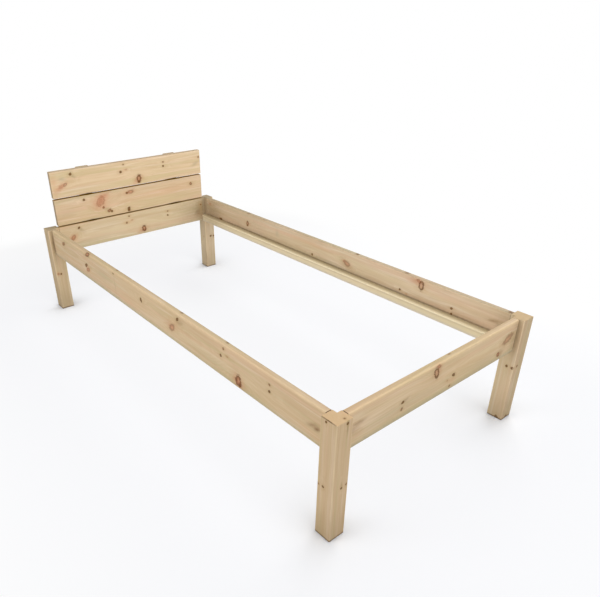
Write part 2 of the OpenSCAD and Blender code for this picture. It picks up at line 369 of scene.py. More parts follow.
# Painted shade: in corners, along the boards' edges and ends, and towards the posts' feet
SHADE_GREY = tone(140, 122, 92)
# Painted shade in the recesses and corners beside the posts
SHADE_UMBER = tone(122, 102, 74)
# A painted highlight on a ledge's inner arris
ARRIS_HIGHLIGHT = tone(255, 243, 208)
# Painted shade on a ledge's top beside the rail
LEDGE_TOP_SHADE = tone(176, 160, 124)
LEDGE_FOOT = tone(208, 200, 190)
RESIN = tone(176, 126, 74)
END_GRAIN = tone(205, 173, 130)
# End grain darkened further by painted shade
SHADED_END = tone(176, 154, 120)
SHADED_GREY_END = tone(132, 116, 92)
# Arrises lightened by wear and by a painted highlight
ARRIS_WEAR_AND_HIGHLIGHT = tone(238, 216, 178)

# How strongly each kind of knot shows its heart, halo and rim, how red it is, its loops inside, and the
# width of its rim as a share of its radius
KNOT_KINDS = {
    "dark": ((0.95, 0.6, 0.5), 0.0, 1.0, 0.22),
    "brown": ((0.8, 0.65, 0.35), 0.3, 1.0, 0.25),
    "box": ((0.54, 0.7, 0.8), 0.5, 1.0, 0.36),
    "open": ((0.2, 0.65, 0.85), 0.4, 1.0, 0.27),
    "ring": ((0.7, 0.8, 0.8), 0.7, 1.0, 0.28),
    "red": ((0.6, 0.8, 0.3), 1.0, 1.0, 0.25),
    "loops": ((0.5, 0.6, 0.15), 1.0, 2.0, 0.14),
    "rosy": ((0.32, 0.65, 0.0), 1.0, 1.0, 0.2),
    "loop": ((0.3, 0.6, 0.42), 0.7, 1.0, 0.34),
    "faint": ((0.35, 0.5, 0.0), 0.5, 1.0, 0.2),
}


def knot(x, y, z, radius, kind="dark", stretch=1.0, slant=0.0, inner=None):
    """A knot at a place on a board's face, in mm. Its oval is stretched along a line slanted off the grain.

    Where inner is given, it is a second place that the same branch passes through, deeper in the board."""
    strengths, redness, loops, rim_width = KNOT_KINDS[kind]
    look = {"Radius": radius * MM, "Strengths": strengths, "Red": redness, "Loops": loops,
            "Rim width": rim_width}
    return Vector((x, y, z)) * MM, stretch, math.radians(slant), inner, look


def patch(place, along, across, length, width, colour, strength, depth=12):
    """A soft oval: its centre in mm, its two directions in the world, and its half sizes in mm."""
    along, across = Vector(along), Vector(across)
    return {"Centre": Vector(place) * MM, "Along": along / (length * MM), "Across": across / (width * MM),
            "Depth": along.cross(across) / (depth * MM), "Strength": strength, "Tone": colour}


def knot_chain(g, knots, place, ragged, to_local, start):
    """Adds the knots one after another and returns what they bend and mark."""
    chain = {"Bend": (0, 0, 0), "Swell": 0.0, "Marks": (0, 0, 0), "Redness": 0.0}
    for spot, stretch, slant, inner, look in knots:
        centre = to_local(spot)
        lean = math.sqrt(max(stretch ** 2 - 1, 0))
        axis = Vector((lean * math.cos(slant), lean * math.sin(slant), 1))
        if inner:
            axis = centre - to_local(Vector(inner) * MM)
        inputs = {"Position": place, "Unevenness": ragged, "Centre": centre, "Axis": axis.normalized(),
                  "Start": start, **look, **chain}
        out = g.add("ShaderNodeGroup", inputs, node_tree=KNOT).outputs
        chain = {name: out[name] for name in chain}
    return chain


def patch_chain(g, patches, position, ragged, colour):
    """Adds the patches one after another over the colour and returns the new colour."""
    for one in patches:
        inputs = {"Position": position, "Unevenness": ragged, "Colour": colour, **one}
        colour = g.add("ShaderNodeGroup", inputs, node_tree=PATCH).outputs["Colour"]
    return colour


# What is laid over the yearly rings, in this order: the streak that drives it, the range over which it
# comes in, its strength at both ends of that range, and its tone
LAYERS = (
    ("Broad streak", 0.5, 0.66, 0.0, 0.48, ROSY_STREAK),
    ("Broad streak", 0.32, 0.48, 0.65, 0.0, GREEN_STREAK),
    ("Cloud", 0.5, 0.72, 0.0, 0.35, GREEN_STREAK),
    ("Middle streak", 0.54, 0.7, 0.0, 0.55, PALE_STREAK),
    ("Middle streak", 0.3, 0.46, 0.45, 0.0, LATEWOOD),
    ("Fine streak", 0.3, 0.7, 0.35, 0.0, LATEWOOD),
    ("Fibre", 0.35, 0.75, 0.0, 0.12, LATEWOOD),
)
CANAL_STRENGTH = 0.5
HALO_STRENGTH = 0.7
END_STRENGTH = 0.7
REDDISH_FROM = (0.05, 0.6)


def figure_colour(g, out, late):
    """The colour of clear pine: its yearly rings, its streaks and its resin canals."""
    colour = g.mix(late, EARLYWOOD, LATEWOOD)
    for name, low, high, start, end, laid_tone in LAYERS:
        colour = g.mix(g.step(out[name], low, high, start, end), colour, laid_tone)
    canals = g.times(out["Canals"], g.times(late, CANAL_STRENGTH))
    return g.mix(canals, colour, RESIN)


def knot_colour(g, marks, redness, colour):
    """The knots' hearts, halos and rims over the colour."""
    reddish = g.step(redness, *REDDISH_FROM)
    halo = g.times(marks[1], HALO_STRENGTH)
    colour = g.mix(halo, colour, g.mix(reddish, OLIVE_HALO, RED_HALO))
    colour = g.mix(marks[0], colour, g.mix(reddish, HEART, RED_HEART))
    return g.mix(marks[2], colour, RIM)


# Widths on a board, in mm: its arris, lightened by wear and a painted highlight, and the dark lines at its
# joints, the painted shade in its gaps and the painted contact shadow at its foot
ARRIS_W = 5.0
JOINT_LINE = (3.0, 1.0)
GAP_LINE = (1.2, 0.3)
FOOT_LINE = (2.0, 9.0)
# The height over which painted shade darkens a post towards its foot, in mm
FOOT_SHADE_H = 160.0

# The range over which each comes in, and its strengths at both ends where they aren't 0 and 1
LATE_IN_STREAKS = (0.25, 0.75, 0.25, 0.6)
LATE_IN_CLOUDS = (0.3, 0.7, 0.35, 1.0)
END_FACING = (0.55, 0.95)
NARROW_FACING = (0.5, 0.9)
WEAR_AND_HIGHLIGHT_FROM_FOOT = (0.02, 0.3, 0.35, 1.0)

# Roughness of the wood, and how far each board's seed moves its knots' edges and its figure
ROUGHNESS = 0.62
RAGGED_OFTEN = (70.0, 115.0, 115.0)
RAGGED_SHIFT = (1.37, 0.71, 0.43)
FIGURE_SHIFT = (3.1, 1.7, 2.3)


def board_material(node, axes, pith, slope, ring_width, seed, knots=(), patches=(), pale=0.0, start=0.05,
                   worn=0.15, dark_ends=0.0, gap_edge=0.0, end_tone=END_GRAIN,
                   tint=(1.0, 1.0, 1.0), edge_tint=(1.0, 1.0, 1.0), soiled_foot=0.0):
    """The pine of one board. Its axes are the grain, the width and the side that shows, as world vectors.

    The ends and the high edge are darkened by the strengths given: the ends as in a close joint, the high
    edge by painted shade, as deep in a gap. The tint multiplies the board's colour, and the narrow face
    shading paints light and shade on its two narrow faces. Its arrises are lightened by wear and a painted
    highlight.
    The foot shade is painted shade that darkens downwards, with a painted contact shadow at the foot."""
    low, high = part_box(node)
    middle = (low + high) / 2
    half = (high - low) / 2
    grain, width, side = (Vector(a) for a in axes)
    reach = [abs(half.dot(a)) for a in (grain, width, side)]

    def to_local(world):
        away = world - middle
        return Vector((away.dot(grain), away.dot(width), away.dot(side)))

    material, g = new_material("pine_" + node)
    coords = g.add("ShaderNodeTexCoord")
    position = coords.outputs["Object"]
    offset = g.vector("SUBTRACT", position, middle)
    place = g.join(*(g.vector("DOT_PRODUCT", offset, a) for a in (grain, width, side)))
    facing, edgewise = (g.math("ABSOLUTE", g.vector("DOT_PRODUCT", coords.outputs["Normal"], a))
                        for a in (grain, width))
    seeded = g.vector("ADD", place, [seed * shift for shift in RAGGED_SHIFT])
    ragged = g.math("SUBTRACT", g.noise(g.vector("MULTIPLY", seeded, RAGGED_OFTEN), 1.0, 2.0), 0.5)
    chain = knot_chain(g, knots, place, ragged, to_local, start)

    inputs = {"Position": place, "Bend": chain["Bend"], "Swell": chain["Swell"],
              "Pith": (0.0, pith[0] * MM, pith[1] * MM), "Pith slope": (0.0, *slope),
              "Ring width": ring_width * MM, "Seed": [seed * shift for shift in FIGURE_SHIFT]}
    out = g.add("ShaderNodeGroup", inputs, node_tree=FIGURE).outputs
    late = g.times(out["Latewood"], g.step(out["Fine streak"], *LATE_IN_STREAKS))
    late = g.times(late, g.step(out["Cloud"], *LATE_IN_CLOUDS))
    colour = figure_colour(g, out, late)
    if pale:
        colour = g.mix(pale, colour, CREAM)
    end = g.step(facing, *END_FACING)
    colour = g.mix(g.times(end, END_STRENGTH), colour, end_tone)
    colour = g.vector("MULTIPLY", colour, tint)
    # Painted light and shade: the two narrow faces are made lighter or darker
    narrow = g.step(edgewise, *NARROW_FACING)
    colour = g.vector("MULTIPLY", colour, g.mix(narrow, WHITE, (*edge_tint, 1.0)))
    colour = patch_chain(g, patches, position, ragged, colour)
    marks = g.split(chain["Marks"])
    colour = knot_colour(g, marks, chain["Redness"], colour)
    spot = g.split(g.vector("ABSOLUTE", place))
    # The arrises are lightened by wear and a painted highlight, which fades towards a shaded foot
    arris = g.times(*(g.step(spot[i], reach[i] - ARRIS_W * MM, reach[i]) for i in (1, 2)))
    from_foot = g.math("ADD", g.split(place)[0], reach[0])
    if soiled_foot:
        arris = g.times(arris, g.step(from_foot, *WEAR_AND_HIGHLIGHT_FROM_FOOT))
    colour = g.mix(g.times(arris, worn), colour, ARRIS_WEAR_AND_HIGHLIGHT)
    if dark_ends:
        line = [reach[0] - inset * MM for inset in JOINT_LINE]
        colour = g.mix(g.step(spot[0], *line, 0.0, dark_ends), colour, DARK)
    in_gap = 0.0
    # Painted shade along the high edge, as deep in a gap
    if gap_edge:
        line = [reach[1] - inset * MM for inset in GAP_LINE]
        in_gap = g.step(g.split(place)[1], *line, 0.0, gap_edge)
        colour = g.mix(in_gap, colour, GAP_BROWN)
    # Painted shade darkens the foot, with a painted contact shadow along its lowest edge
    if soiled_foot:
        colour = g.mix(g.step(from_foot, 0.0, FOOT_SHADE_H * MM, soiled_foot, 0.0), colour, SHADE_GREY)
        line = [height * MM for height in FOOT_LINE]
        colour = g.mix(g.step(from_foot, *line, 0.75, 0.0), colour, DARK)

    rough = ROUGHNESS
    for part, added in ((late, -0.08), (in_gap, 0.4), (out["Fibre"], 0.1), (arris, -0.08), (end, 0.12)):
        rough = g.times(part, added, rough)
    height = g.times(late, 0.35, g.times(out["Fibre"], 0.5))
    height = g.math("SUBTRACT", height, g.times(marks[2], 0.9))
    bump = g.add("ShaderNodeBump", {"Height": height, "Strength": 0.35, "Distance": 0.0004})
    shader = g.add("ShaderNodeBsdfPrincipled", {"Base Color": colour, "Roughness": rough,
                                                "Normal": bump.outputs[0], "Specular IOR Level": 0.1})
    g.add("ShaderNodeOutputMaterial", {"Surface": shader.outputs[0]})
    return material


KNOT = knot_group()
PATCH = patch_group()
FIGURE = figure_group()

# World directions
RIGHT = (1, 0, 0)
LEFT = (-1, 0, 0)
HEADWARD = (0, 1, 0)
FOOTWARD = (0, -1, 0)
UP = (0, 0, 1)

# Faces and heights that carry knots and patches, in mm
HEAD_FACE = span("head_rail")[0].y
FOOT_FACE = span("foot_rail")[0].y
LEFT_FACE = span("side_rail_left")[0].x
RIGHT_FACE = span("side_rail_right")[0].x
RAIL_FOOT = span("foot_rail")[0].z
RAIL_TOP = span("foot_rail")[1].z
POST_LEFT, POST_FRONT = span("post_foot_left")[0].xy
POST_INNER = span("post_foot_right")[0].x
HEAD_POST = span("post_head_left")[0].y

# Half length of a patch that runs along the whole board, and the depth of one on its top, in mm
WHOLE = 3000
TOP_DEPTH = 2
# The depth and height of the painted highlight along a rail's top outer arris, in mm
EDGE_DEPTH = 5
EDGE_Z = RAIL_TOP + 2


def knots_front(y, *rows):
    """Knots on a face that looks towards the foot: x, z, radius, kind, stretch, slant."""
    return [knot(x, y, z, *rest) for x, z, *rest in rows]


def knots_side(x, *rows):
    """Knots on a face that looks sideways: y, z, and the same."""
    return [knot(x, y, z, *rest) for y, z, *rest in rows]


def slanted(place, level, length, width, colour, strength, slant=0.0):
    """A patch whose length rises by a slant, in degrees, from a level direction."""
    c, s = math.cos(math.radians(slant)), math.sin(math.radians(slant))
    level, up = Vector(level), Vector(UP)
    return patch(place, level * c + up * s, up * c - level * s, length, width, colour, strength)


def on_front(y, *rows):
    """Patches on a face that looks towards the foot: x, z, half length, half width, tone, strength, slant."""
    return [slanted((x, y, z), RIGHT, *rest) for x, z, *rest in rows]


def on_side(x, *rows):
    """Patches on a face that looks sideways: y, z, and the same."""
    return [slanted((x, y, z), HEADWARD, *rest) for y, z, *rest in rows]


def on_top(z, *rows):
    """Shallow patches on a face that looks up: x, y, half size in x, half size in y, tone, strength."""
    return [patch((x, y, z), RIGHT, HEADWARD, *rest, depth=TOP_DEPTH) for x, y, *rest in rows]


# The headboard. The shade in its gaps is painted: thin and brown, but black and wider where a batten is
# behind it
HEADBOARD = [span(node) for node in ("head_rail", "headboard_plank_middle", "headboard_plank_top")]
BATTENS = ("headboard_batten_left", "headboard_batten_right")
BATTEN_FACE = span(BATTENS[0])[0].y
BATTEN_X = [sum(corner.x for corner in span(node)) / 2 for node in BATTENS]
BOARD_FEET = [low.z for low, high in HEADBOARD]
BOARD_TOPS = [high.z for low, high in HEADBOARD]
BOARD_END = HEADBOARD[0][1].x - 1
BOARD_MIDDLE_Y = HEAD_FACE + 12
PLANK_GAP = 0.9
RAIL_GAP = 0.66


def gap_shade(board):
    """Painted shade on one board of the headboard beside its gaps, and its thin grey outline of painted
    shade.
    """
    foot, top = BOARD_FEET[board], BOARD_TOPS[board]
    patches = []
    for x in BATTEN_X:
        if board > 0:
            patches += on_front(HEAD_FACE, (x, foot, 36, 3.0, GAP_BLACK, 0.9))
        if board < 2:
            patches += on_top(top, (x, BOARD_MIDDLE_Y, 38, 16, GAP_BLACK, 0.9))
    if board > 0:
        patches += on_front(HEAD_FACE, (BOARD_END, (foot + top) / 2, 1.8, 60, SHADE_GREY, 0.7))
    if board == 2:
        patches += on_front(HEAD_FACE, (0, top, WHOLE, 2.0, SHADE_GREY, 0.5))
    return patches


def paint(node, material):
    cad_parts[node].data.materials.clear()
    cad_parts[node].data.materials.append(material)


def paint_wood(node, *wood, **looks):
    paint(node, board_material(node, *wood, **looks))


# Each board: axes, pith and its slope, ring width, seed, knots, and stains with the bands along it;
# the bands, and the grey marks in its corners and gaps, are painted light and shade
ACROSS = (RIGHT, UP, FOOTWARD)
ALONG = (HEADWARD, UP, LEFT)

# Painted shade: faint grey over its right half, black in its gap by the battens, a grey outline along its end
# and top, and darker narrow faces and ends. Its pale band is painted light
paint_wood(
    "headboard_plank_top", ACROSS, (12, -52), (0.01, 0.012), 4.2, 1.0,
    knots_front(
        HEAD_FACE, (-333, 691, 6, "dark", 1.25, 60), (-383, 639, 8.5, "rosy", 2.8, 20),
        (-367, 643, 5.5, "loop", 1.5, 48), (-42, 697, 4, "brown"), (-62, 661, 6),
        (-29, 669, 4.5, "faint", 1.8, 10), (41, 612, 10.5, "box", 1.4, 85),
        (39, 594, 6.5, "dark", 1.2, 20), (196, 678, 4.5, "brown"), (194, 656, 5),
        (426, 674, 5, "brown")),
    on_front(
        HEAD_FACE, (-322, 680, 16, 7, STAIN, 0.35, -35), (-392, 630, 32, 12, ROSE, 0.65, 35),
        (402, 640, 26, 10, STAIN, 0.45, 20), (30, 604, 28, 15, ROSE, 0.6, 30),
        (-424, 645, 16, 60, ORANGE, 0.45), (-378, 672, 18, 10, GREEN, 0.45),
        (-48, 664, 30, 12, ORANGE, 0.3), (-300, 610, 130, 18, GREEN, 0.12, 2),
        (300, 647, 160, 60, SHADE_GREY, 0.05))
    + gap_shade(2)
    + on_front(HEAD_FACE, (0, 638, WHOLE, 13, CREAM, 0.14)),
    tint=(1.13, 1.165, 1.26), end_tone=SHADED_GREY_END, edge_tint=(0.85, 0.85, 0.88))

# Painted shade: faint grey over its right half, brown and black along its gaps, a grey line at its end, a
# darker band along its top and darker ends
paint_wood(
    "headboard_plank_middle", ACROSS, (-10, -44), (0.02, -0.01), 4.6, 2.0,
    knots_front(
        HEAD_FACE, (-282, 551, 5.5), (-194, 528, 19, "loops", 1.5, 54),
        (-206, 512, 10, "rosy", 1.2, 50), (-183, 493, 5.5), (-152, 471, 8, "brown", 1.2, 0),
        (-138, 465, 6), (-40, 547, 5.5, "dark", 1.2, 0), (-18, 549, 7, "loop", 1.9, 0),
        (-38, 458, 8, "dark", 1.25, 89), (365, 532, 7.5, "brown")),
    on_front(
        HEAD_FACE, (-192, 531, 44, 26, ROSE, 0.6, 58), (-168, 556, 34, 8, ROSE, 0.5, 25),
        (-25, 549, 30, 12, ROSE, 0.5, 8), (-165, 482, 30, 12, BROWN, 0.3, -35),
        (240, 520, 160, 20, ORANGE, 0.3, 3), (-36, 448, 12, 8, BROWN, 0.35),
        (-380, 500, 60, 24, GREEN, 0.15), (300, 508, 160, 60, SHADE_GREY, 0.05))
    + gap_shade(1)
    + on_front(HEAD_FACE, (0, 569, WHOLE, 9, GREEN, 0.16)),
    gap_edge=PLANK_GAP, tint=(1.1, 1.11, 1.22), end_tone=SHADED_GREY_END)

# Painted shade: grey and olive in the corner by the right post, brown and black along its gap, and a darker
# band along its foot. Its pale band is painted light
paint_wood(
    "head_rail", ACROSS, (8, -50), (0.012, 0.01), 4.2, 3.0,
    knots_front(
        HEAD_FACE, (-333, 412, 5.5, "dark", 1.2, 60), (-370, 367, 9, "red", 1.6, 55),
        (-44, 419, 4, "brown"), (-62, 385, 5.5, "brown"), (-29, 393, 4, "faint", 1.8, 10),
        (40, 333, 10, "box", 1.4, 89), (44, 320, 5), (198, 401, 4, "brown"),
        (197, 378, 4.5), (424, 397, 4, "brown")),
    on_front(
        HEAD_FACE, (-322, 402, 18, 8, STAIN, 0.4, -35), (-385, 352, 26, 10, ROSE, 0.35, 40),
        (403, 362, 22, 8, STAIN, 0.5, 25), (27, 324, 28, 15, ROSE, 0.5, 20),
        (-48, 388, 30, 12, ORANGE, 0.3), (-300, 330, 140, 18, GREEN, 0.2, 2),
        (425, 370, 50, 80, SHADE_GREY, 0.5), (345, 372, 90, 80, SHADE_GREY, 0.26), (426, 375, 24, 44, OLIVE_HALO, 0.4),
        (404, 348, 16, 12, BROWN, 0.4))
    + gap_shade(0)
    + on_front(HEAD_FACE, (0, RAIL_FOOT, WHOLE, 8, GREEN, 0.4), (-60, 358, 360, 18, CREAM, 0.17)),
    dark_ends=0.5, gap_edge=RAIL_GAP, tint=(1.04, 1.115, 1.225))

# Painted shade: grey at its right end and along its inner top edge, darker bands low down, and darker top and
# bottom faces. Painted light: its pale bands and a highlight along its top outer arris
paint_wood(
    "foot_rail", ACROSS, (-6, -48), (0.015, 0.012), 4.4, 4.0,
    knots_front(
        FOOT_FACE, (-196, 364, 4.5, "dark", 1.2, 0), (-197, 339, 4.5, "brown", 1.4, 80),
        (-38, 404, 9, "open", 2.0, 108), (-31, 425, 5.5, "red", 2.0, 155),
        (63, 356, 5.5, "dark", 1.5, 146), (31, 347, 4, "faint"), (48, 318, 4, "brown"),
        (334, 330, 6.5, "ring", 1.3, 130), (382, 376, 13, "loop", 1.8, 20)),
    on_front(
        FOOT_FACE, (-400, 408, 36, 11, PALE_STREAK, 0.7, -3), (-390, 384, 28, 7, BROWN, 0.55, -2),
        (-412, 366, 26, 14, BROWN, 0.35), (-395, 342, 26, 10, ROSE, 0.2, 10),
        (-185, 366, 18, 6, BROWN, 0.4, 10), (-34, 410, 24, 18, ROSE, 0.5, 60),
        (346, 332, 20, 14, BROWN, 0.4, 10), (378, 374, 24, 14, BROWN, 0.35, 20),
        (425, 360, 22, 60, SHADE_GREY, 0.35), (55, 337, 24, 22, ORANGE, 0.35, 70),
        (120, 375, 170, 20, ORANGE, 0.25), (250, 335, 80, 14, GREEN, 0.18))
    + on_top(RAIL_TOP, (42, -1013, 7, 4, HEART, 0.7))
    + on_front(
        FOOT_FACE, (0, RAIL_FOOT, WHOLE, 14, GREEN, 0.8), (220, 378, 230, 17, CREAM, 0.24),
        (220, 422, 230, 8, CREAM, 0.14), (-200, 400, 200, 12, CREAM, 0.17),
        (-200, 346, 200, 20, GREEN, 0.2))
    + on_top(RAIL_TOP, (0, -1008, WHOLE, 7, SHADE_GREY, 0.14))
    + [patch((0, FOOT_FACE, EDGE_Z), RIGHT, UP, WHOLE, 9, LIT_EDGE, 0.55, depth=EDGE_DEPTH)],
    dark_ends=0.9, tint=(1.11, 1.135, 1.2), edge_tint=(0.83, 0.81, 0.8))

# Painted shade: grey towards its head end and along its inner top edge, darker bands along its foot, and
# darker top and bottom faces. Painted light: its pale band and a highlight along its top outer arris
paint_wood(
    "side_rail_left", ALONG, (8, -46), (0.008, 0.008), 4.4, 5.0,
    knots_side(
        LEFT_FACE, (848, 403, 8, "brown", 2.1, 156), (564, 430, 8, "ring", 2.3, 156),
        (595, 368, 7.5, "dark", 1.8, 145), (580, 352, 8, "red", 2.2, 154), (304, 422, 3.5),
        (67, 385, 7, "dark", 1.25, 90), (-214, 411, 5.5, "dark", 1.7, 139),
        (-169, 359, 10, "loop", 1.7, 144), (-487, 384, 5.5), (-504, 418, 4.5, "brown"),
        (-525, 396, 4.5, "faint", 2.0, 0), (-586, 332, 13, "ring", 1.35, 92),
        (-592, 318, 5, "dark", 1.8, 92), (-745, 400, 4.5, "brown"), (-745, 375, 5)),
    on_side(
        LEFT_FACE, (-934, 362, 22, 7, BROWN, 0.6, 154), (-955, 360, 16, 8, BROWN, 0.75, 156),
        (-957, 358, 8, 4, HEART, 0.4, 156), (-920, 335, 60, 10, ORANGE, 0.3, 10),
        (780, 370, 340, 90, SHADE_GREY, 0.14), (330, 370, 380, 90, SHADE_GREY, 0.06), (-160, 362, 36, 14, ROSE, 0.5),
        (-190, 392, 40, 16, ORANGE, 0.35), (-228, 402, 30, 12, BROWN, 0.35, -20),
        (-585, 324, 36, 20, ROSE, 0.6, 60), (400, 380, 90, 32, GREEN, 0.22),
        (300, 372, 4, 34, STAIN, 0.25), (180, 330, 90, 16, ORANGE, 0.25),
        (580, 360, 10, 16, ROSE, 0.35, 60), (-400, 345, 140, 20, GREEN, 0.15),
        (567, 435, 14, 6, BROWN, 0.5))
    + on_top(
        RAIL_TOP, (-460, 298, 6, 7, HEART, 0.95), (-460, -222, 6, 8, HEART, 0.95),
        (-460, -506, 6, 8, HEART, 0.95))
    + on_side(
        LEFT_FACE, (0, RAIL_FOOT, WHOLE, 12, GREEN, 0.55), (500, RAIL_FOOT, 500, 18, GREEN, 0.6),
        (-500, 353, 480, 13, CREAM, 0.14))
    + on_top(RAIL_TOP, (-457, 0, 7, WHOLE, SHADE_GREY, 0.3))
    + [patch((LEFT_FACE, 0, EDGE_Z), HEADWARD, UP, WHOLE, 8, LIT_EDGE, 0.4, depth=EDGE_DEPTH)],
    dark_ends=0.9, tint=(1.06, 1.08, 1.14), edge_tint=(0.92, 0.93, 0.96))

# Painted shade: grey at both ends, towards its head and above the ledge, a dark line where the ledge meets
# it, a darker band high up, and darker top and bottom faces. Its pale band is painted light
paint_wood(
    "side_rail_right", ALONG, (-8, -50), (0.008, -0.006), 4.4, 6.0,
    knots_side(
        RIGHT_FACE, (953, 407, 8, "faint", 1.3, 0), (586, 379, 8, "box", 1.3, 100), (590, 366, 4),
        (844, 343, 6, "dark", 2.0, 0), (64, 353, 4.5, "dark", 1.2, 90), (-158, 382, 8, "rosy", 2.0, 13),
        (-170, 376, 10, "loop", 1.6, 15), (-485, 356, 4.5), (-520, 347, 3.5, "faint"),
        (-590, 409, 10, "open", 1.7, 92), (-576, 424, 6.5, "red", 1.8, 30), (-744, 364, 5),
        (-747, 341, 4.5)),
    on_side(
        RIGHT_FACE, (-928, 382, 26, 6, BROWN, 0.7, -8), (-958, 370, 16, 10, BROWN, 0.4),
        (-560, 420, 34, 13, ROSE, 0.5), (-165, 374, 30, 13, BROWN, 0.4, 30),
        (333, 391, 12, 22, GREEN, 0.3), (955, 375, 70, 80, SHADE_GREY, 0.4), (760, 375, 300, 90, SHADE_GREY, 0.22),
        (890, 375, 70, 80, SHADE_GREY, 0.28), (-700, 325, 260, 30, SHADE_GREY, 0.08), (-975, 385, 40, 60, SHADE_GREY, 0.3),
        (0, 340, WHOLE, 18, SHADE_GREY, 0.16), (100, 405, 240, 12, ORANGE, 0.3),
        (-700, 395, 160, 12, ORANGE, 0.25))
    + on_top(
        RAIL_TOP, (468, 586, 9, 9, HEART, 0.8), (468, -222, 9, 9, HEART, 0.95),
        (468, -504, 9, 9, HEART, 0.85), (466, -978, 10, 8, HEART, 0.9))
    + on_side(
        RIGHT_FACE, (0, 339, WHOLE, 4, DARK, 0.48), (-450, 387, 460, 15, CREAM, 0.17),
        (450, 422, 460, 8, GREEN, 0.18)),
    dark_ends=0.5, tint=(1.1, 1.18, 1.36), edge_tint=(0.7, 0.72, 0.7))

# Painted shade darkens the battens where they show through the gaps between the boards, and at their ends
GAP_HEIGHTS = [(top + foot) / 2 for top, foot in zip(BOARD_TOPS, BOARD_FEET[1:])]
for index, (node, x) in enumerate(zip(BATTENS, BATTEN_X)):
    in_gaps = on_front(BATTEN_FACE, *((x, z, 80, 6, RIM, 0.9) for z in GAP_HEIGHTS))
    paint_wood(node, (UP, RIGHT, HEADWARD), (4 - 13 * index, -40), (0.01, 0.01), 3.8, 11.0 + index,
               patches=in_gaps, end_tone=SHADED_END)

# The ledges are paler on the side, with a painted highlight on the inner arris, painted shade on the top,
# a painted shade line where they meet the rail and painted shade at the head end
LEDGES = (("slat_ledge_left", -1), ("slat_ledge_right", 1))
LEDGE_INNER = span("slat_ledge_right")[0].x
LEDGE_Z = span("slat_ledge_right")[1].z
for index, (node, side) in enumerate(LEDGES):
    bands = on_top(LEDGE_Z, (side * 445, 0, 18, WHOLE, LEDGE_TOP_SHADE, 0.9),
                   (side * RIGHT_FACE, 0, 5, WHOLE, DARK, 0.6))
    bands += on_side(side * LEDGE_INNER, (0, 319, WHOLE, 15, CREAM, 0.52),
                     (0, 336.5, WHOLE, 2.2, ARRIS_HIGHLIGHT, 1.0),
                     (0, 329, WHOLE, 1.8, LATEWOOD, 0.35), (0, 307, WHOLE, 6, LEDGE_FOOT, 0.5),
                     (900, 320, 130, 40, SHADE_GREY, 0.4))
    bands += on_top(LEDGE_Z, (side * 440, 900, 30, 130, SHADE_GREY, 0.35))
    paint_wood(node, (HEADWARD, RIGHT, UP), (20, -40), (0.01, 0.01), 3.4, 21.0 + index,
               patches=bands, pale=0.3, worn=0.2, tint=(1.02, 1.12, 1.28))


def paint_post(node, seed, pith, end_tone, tint, edge_tint, knots, patches):
    """A post's knots run out from the pith in its middle. Painted shade darkens its foot."""
    paint_wood(node, (UP, RIGHT, FOOTWARD), pith, (0.004, 0.004), 4.0, seed, knots, patches, start=0.03,
               worn=0.8, end_tone=end_tone, tint=tint, edge_tint=edge_tint, soiled_foot=0.3)


# Each post: seed, pith, end tone, tint, painted light and shade on its two sides, knots and patches. The dark
# strips in the recesses and corners beside the rails are painted shade
paint_post(
    "post_foot_left", 31.0, (4, -3), END_GRAIN, (1.01, 1.01, 1.05), (1.0, 1.0, 1.0),
    [knot(POST_LEFT, -1009, 426, 3.5, inner=(-480, -1012, 420)),
     knot(POST_LEFT, -1011, 196, 4, inner=(-475, -1016, 190)),
     knot(POST_LEFT, -993, 195, 3, "brown", inner=(-475, -1005, 190)),
     knot(-459, POST_FRONT, 426, 4, inner=(-461, -1030, 420)),
     knot(-465, POST_FRONT, 197, 4, inner=(-466, -1030, 190)),
     knot(-445, POST_FRONT, 202, 3, "brown", inner=(-455, -1030, 196))],
    on_top(RAIL_TOP, (-499, -1017, 1.6, 34, DARK, 0.95), (-459, -1037, 4, 3.5, HEART, 0.9))
    + on_front(POST_FRONT, (-458, 408, 3, 22, BROWN, 0.5), (-465, 208, 3, 14, BROWN, 0.35)))

paint_post(
    "post_foot_right", 32.0, (-3, 5), END_GRAIN, (0.91, 0.95, 1.0), (1.08, 1.11, 1.13),
    [knot(POST_INNER, -1023, 237, 4.5, inner=(455, -1020, 232)),
     knot(POST_INNER, -1046, 237, 5, inner=(450, -1034, 232)),
     knot(461, POST_FRONT, 241, 4.5, "brown", inner=(462, -1035, 236)),
     knot(POST_INNER, -1028, 6, 7, inner=(455, -1024, 6)),
     knot(467, POST_FRONT, 6, 6.5, inner=(467, -1035, 6))],
    on_side(POST_INNER, (-1034, 370, 7, 75, SHADE_UMBER, 0.4)))

paint_post(
    "post_head_left", 33.0, (6, 4), SHADED_END, (0.99, 1.04, 1.1), (0.83, 0.82, 0.82),
    [knot(-474, HEAD_POST, 196, 4, inner=(-472, 1005, 192)),
     knot(-488, HEAD_POST, 199, 4.5, "red", inner=(-481, 1005, 195))],
    on_front(HEAD_POST, (-484, 370, 7, 72, SHADE_UMBER, 0.65)))

paint_post(
    "post_head_right", 34.0, (-5, -4), SHADED_END, (0.95, 1.02, 1.15), (1.04, 1.04, 1.04),
    [knot(472, HEAD_POST, 197, 6, inner=(472, 1005, 192)),
     knot(493, HEAD_POST, 194, 5, inner=(485, 1005, 188)),
     knot(POST_INNER, 1010, 194, 4, "faint", inner=(455, 1012, 190))],
    on_front(HEAD_FACE, (446, 380, 16, 80, SHADE_UMBER, 0.36))
    + on_side(RIGHT_FACE, (996, 380, 16, 80, SHADE_UMBER, 0.36)))


